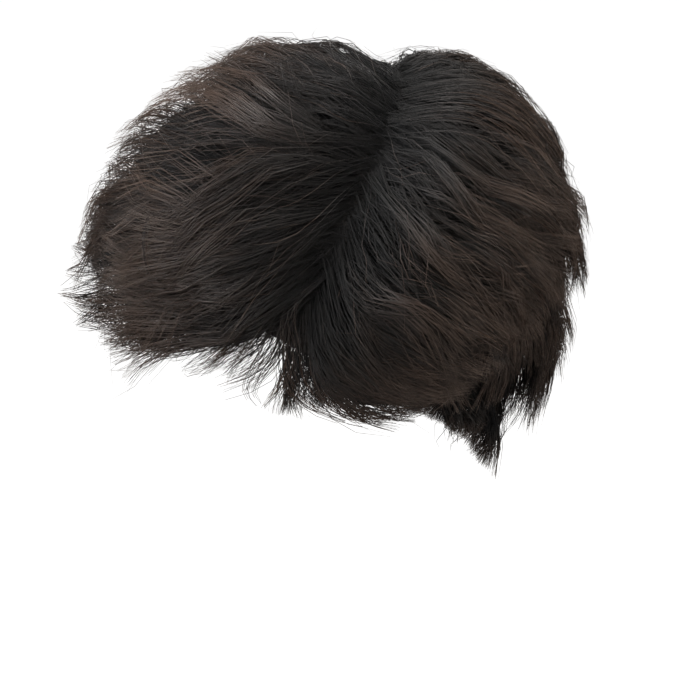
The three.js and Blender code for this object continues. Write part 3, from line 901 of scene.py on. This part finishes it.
def capFaces(count, rings):
    # outside and inside sheets of rings round the crown, each with its pole, and the strip along the edge
    ahead = [(k + 1) % count for k in range(count)]

    def strip(a, b):
        return [(a + k, b + k, b + ahead[k], a + ahead[k]) for k in range(count)]

    faces = []
    for side, flip in ((0, False), (1, True)):
        first = side * rings * count
        pole = 2 * rings * count + side
        sheet = [(pole, first + k, first + ahead[k]) for k in range(count)]
        for r in range(rings - 1):
            sheet += strip(first + r * count, first + (r + 1) * count)
        faces += [f[::-1] for f in sheet] if flip else sheet
    return faces + strip((rings - 1) * count, (2 * rings - 1) * count)


def makeCap():
    # the shell of the CAD part with its edge rounded at the turns, open below
    turns = np.arange(0, 360, capShape["turnStep"])
    knots = np.array(capShape["edge"], float)
    knots = np.concatenate([knots, [[360 - t, f] for t, f in knots[-2::-1]]])
    shifts = np.linspace(-capShape["rounding"], capShape["rounding"], capShape["roundingSteps"])
    edge = np.mean([np.interp((turns + d) % 360, *knots.T) for d in shifts], 0)
    share = np.linspace(0, 1, capShape["rings"] + 1)[1:, None]
    way = bearing(turns[None] + 0 * share, edge[None] * share)
    heights = (capShape["outside"], capShape["inside"])
    outer, inner = (aboveForm(way, np.full(way.shape[:2], h)).reshape(-1, 3) for h in heights)
    poles = [aboveForm(np.array([0, 0, 1.0]), np.array(h)) for h in heights]
    spots = np.concatenate([outer, inner, poles]) * mm
    mesh = bpy.data.meshes.new("cap_shell")
    mesh.from_pydata(spots.tolist(), [], capFaces(len(turns), capShape["rings"]))
    mesh.polygons.foreach_set("use_smooth", [True] * len(mesh.polygons))
    mesh.materials.append(makeCapMaterial())
    piece = addObject("cap_shell", mesh)
    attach(piece, "root")
    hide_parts("cap")


makeCap()
print("cap made")

# Stage: pale floor and backdrop, soft lights, camera at the photo's angle. Sizes in m, power in W
studio = {
    "floorDepth": -1.7, "floorHalf": 12.0, "floorShade": 0.5, "floorRoughness": 0.9, "floorShine": 0.1,
    "domeRadius": 9, "domeRoughness": 0.5, "glow": 0.95, "world": 0.08, "lightAim": (0, 0, -0.1),
}
lights = [
    {"name": "left", "place": (-0.9, -0.65, 0.75), "size": 0.5, "power": 18.5, "colour": (0.94, 0.97, 1)},
    {"name": "right", "place": (0.9, 0.5, 0.85), "size": 0.5, "power": 10.5, "colour": (1, 0.9, 0.8)},
    {"name": "top", "place": (-0.2, 0.5, 1.1), "size": 0.5, "power": 27, "colour": (1, 0.96, 0.92)},
    {"name": "front", "place": (-0.2, -1.15, 0.5), "size": 0.5, "power": 19, "colour": (1, 0.97, 0.94)},
    {"name": "low", "place": (1.1, -0.25, -0.35), "size": 0.5, "power": 7.5, "colour": (1, 0.92, 0.84)},
    {"name": "back", "place": (-0.55, 1.1, -0.2), "size": 0.8, "power": 11, "colour": (1, 0.98, 0.96)},
]
view = {
    "turn": 26.648, "up": 30.932, "distance": 1.0, "aim": (0, 0, -0.123764), "right": 0.003105,
    "lens": 112.67, "sensor": 36,
}


def makeGlowing(name, shade, roughness, shine):
    material, shader = newMaterial(name)
    shader.inputs["Base Color"].default_value = (shade, shade, shade, 1)
    shader.inputs["Roughness"].default_value = roughness
    shader.inputs["Specular IOR Level"].default_value = shine
    shader.inputs["Emission Color"].default_value = (1, 1, 1, 1)
    shader.inputs["Emission Strength"].default_value = studio["glow"]
    return material


def makeFloor():
    half, depth = studio["floorHalf"], studio["floorDepth"]
    corners = [(-half, -half, depth), (half, -half, depth), (half, half, depth), (-half, half, depth)]
    mesh = bpy.data.meshes.new("floor")
    mesh.from_pydata(corners, [], [(0, 1, 2, 3)])
    mesh.materials.append(
        makeGlowing("floor", studio["floorShade"], studio["floorRoughness"], studio["floorShine"]))
    floor = addObject("floor", mesh)
    floor.visible_diffuse = False
    floor.visible_glossy = False


def makeBackdrop():
    # a plain pale dome that only the camera sees
    mesh = bpy.data.meshes.new("backdrop")
    shape = bmesh.new()
    bmesh.ops.create_uvsphere(shape, u_segments=48, v_segments=24, radius=studio["domeRadius"])
    shape.to_mesh(mesh)
    shape.free()
    mesh.materials.append(makeGlowing("backdrop", 0, studio["domeRoughness"], 0))
    dome = addObject("backdrop", mesh)
    dome.visible_diffuse = False
    dome.visible_glossy = False
    dome.visible_transmission = False
    dome.visible_shadow = False


def makeWorld():
    world = bpy.data.worlds.new("studio")
    world.use_nodes = True
    background = world.node_tree.nodes["Background"]
    background.inputs["Color"].default_value = (1, 1, 1, 1)
    background.inputs["Strength"].default_value = studio["world"]
    bpy.context.scene.world = world


def addLight(light):
    data = bpy.data.lights.new(light["name"], "AREA")
    data.shape = "DISK"
    data.size = light["size"]
    data.energy = light["power"]
    data.color = light["colour"]
    lamp = addObject(light["name"], data)
    lamp.location = light["place"]
    lamp.rotation_mode = "QUATERNION"
    lamp.rotation_quaternion = (Vector(studio["lightAim"]) - Vector(light["place"])).to_track_quat("-Z", "Y")


def addCamera():
    turn, up = np.radians(view["turn"]), np.radians(view["up"])
    back = Vector((np.sin(turn) * np.cos(up), -np.cos(turn) * np.cos(up), np.sin(up)))
    aim = Vector(view["aim"]) + view["right"] * Vector((np.cos(turn), np.sin(turn), 0))
    data = bpy.data.cameras.new("camera")
    data.lens = view["lens"]
    data.sensor_width = view["sensor"]
    camera = addObject("camera", data)
    camera.location = aim + back * view["distance"]
    camera.rotation_mode = "QUATERNION"
    camera.rotation_quaternion = (-back).to_track_quat("-Z", "Y")
    bpy.context.scene.camera = camera


makeFloor()
makeBackdrop()
makeWorld()
for light in lights:
    addLight(light)
addCamera()
bpy.context.scene.view_settings.view_transform = "Standard"
print("stage set")
